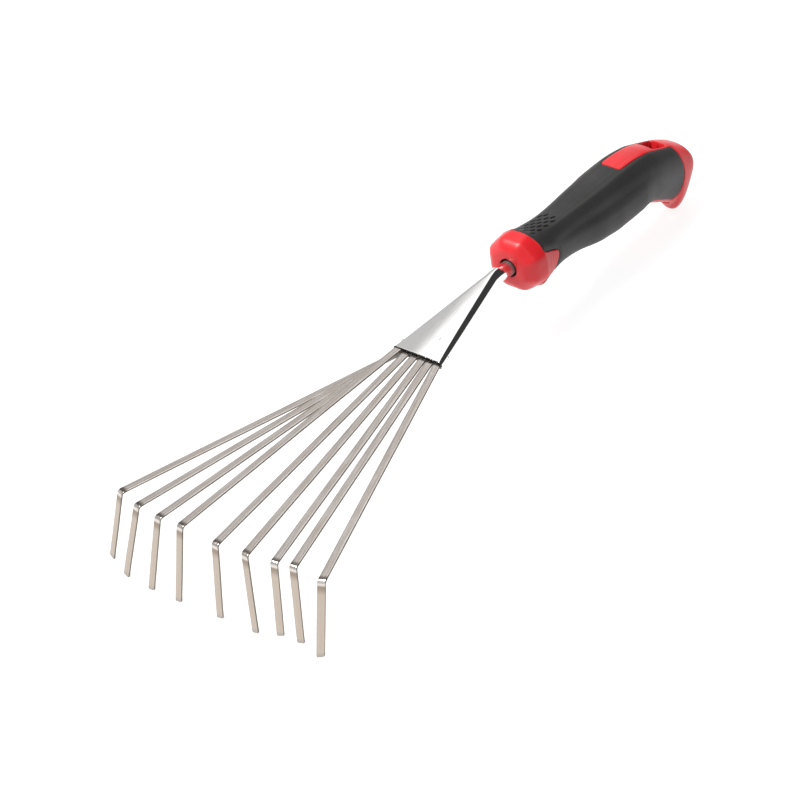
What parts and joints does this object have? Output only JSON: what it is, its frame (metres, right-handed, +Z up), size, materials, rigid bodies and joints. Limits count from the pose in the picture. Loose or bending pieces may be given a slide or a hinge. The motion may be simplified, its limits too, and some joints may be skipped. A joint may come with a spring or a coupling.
{
  "type": "hand rake",
  "caption": "Hand rake: a fan of flat spring-steel tines folded down at the ends, a chromed flat ferrule and an overmoulded pistol-shaped handle with a hanging hole in its heel.",
  "frame": {"origin": "centre of the box around the rake, on the ground that the tine tips and the heel of the handle touch", "axes": "+Y runs from the tines to the handle, along the tool; +X across the fan; +Z up"},
  "size_m": [0.13, 0.37, 0.058],
  "materials": {
    "tine_steel": "fine satin grain, slightly warm, ends ground",
    "chromed_sheet": "bright polished chrome plating",
    "weld_metal": "dull as-welded",
    "rod_steel": "drawn rod",
    "red_plastic": "satin moulded polypropylene",
    "grip_rubber": "matte thermoplastic rubber"
  },
  "bodies": {
    "root": {"tine_1": "tine_steel", "tine_2": "tine_steel", "tine_3": "tine_steel", "tine_4": "tine_steel", "tine_5": "tine_steel", "tine_6": "tine_steel", "tine_7": "tine_steel", "tine_8": "tine_steel", "tine_9": "tine_steel", "ferrule": "chromed_sheet", "root_weld": "weld_metal", "tang": "rod_steel", "handle_core": "red_plastic", "grip": "grip_rubber"}
  },
  "joints": []
}
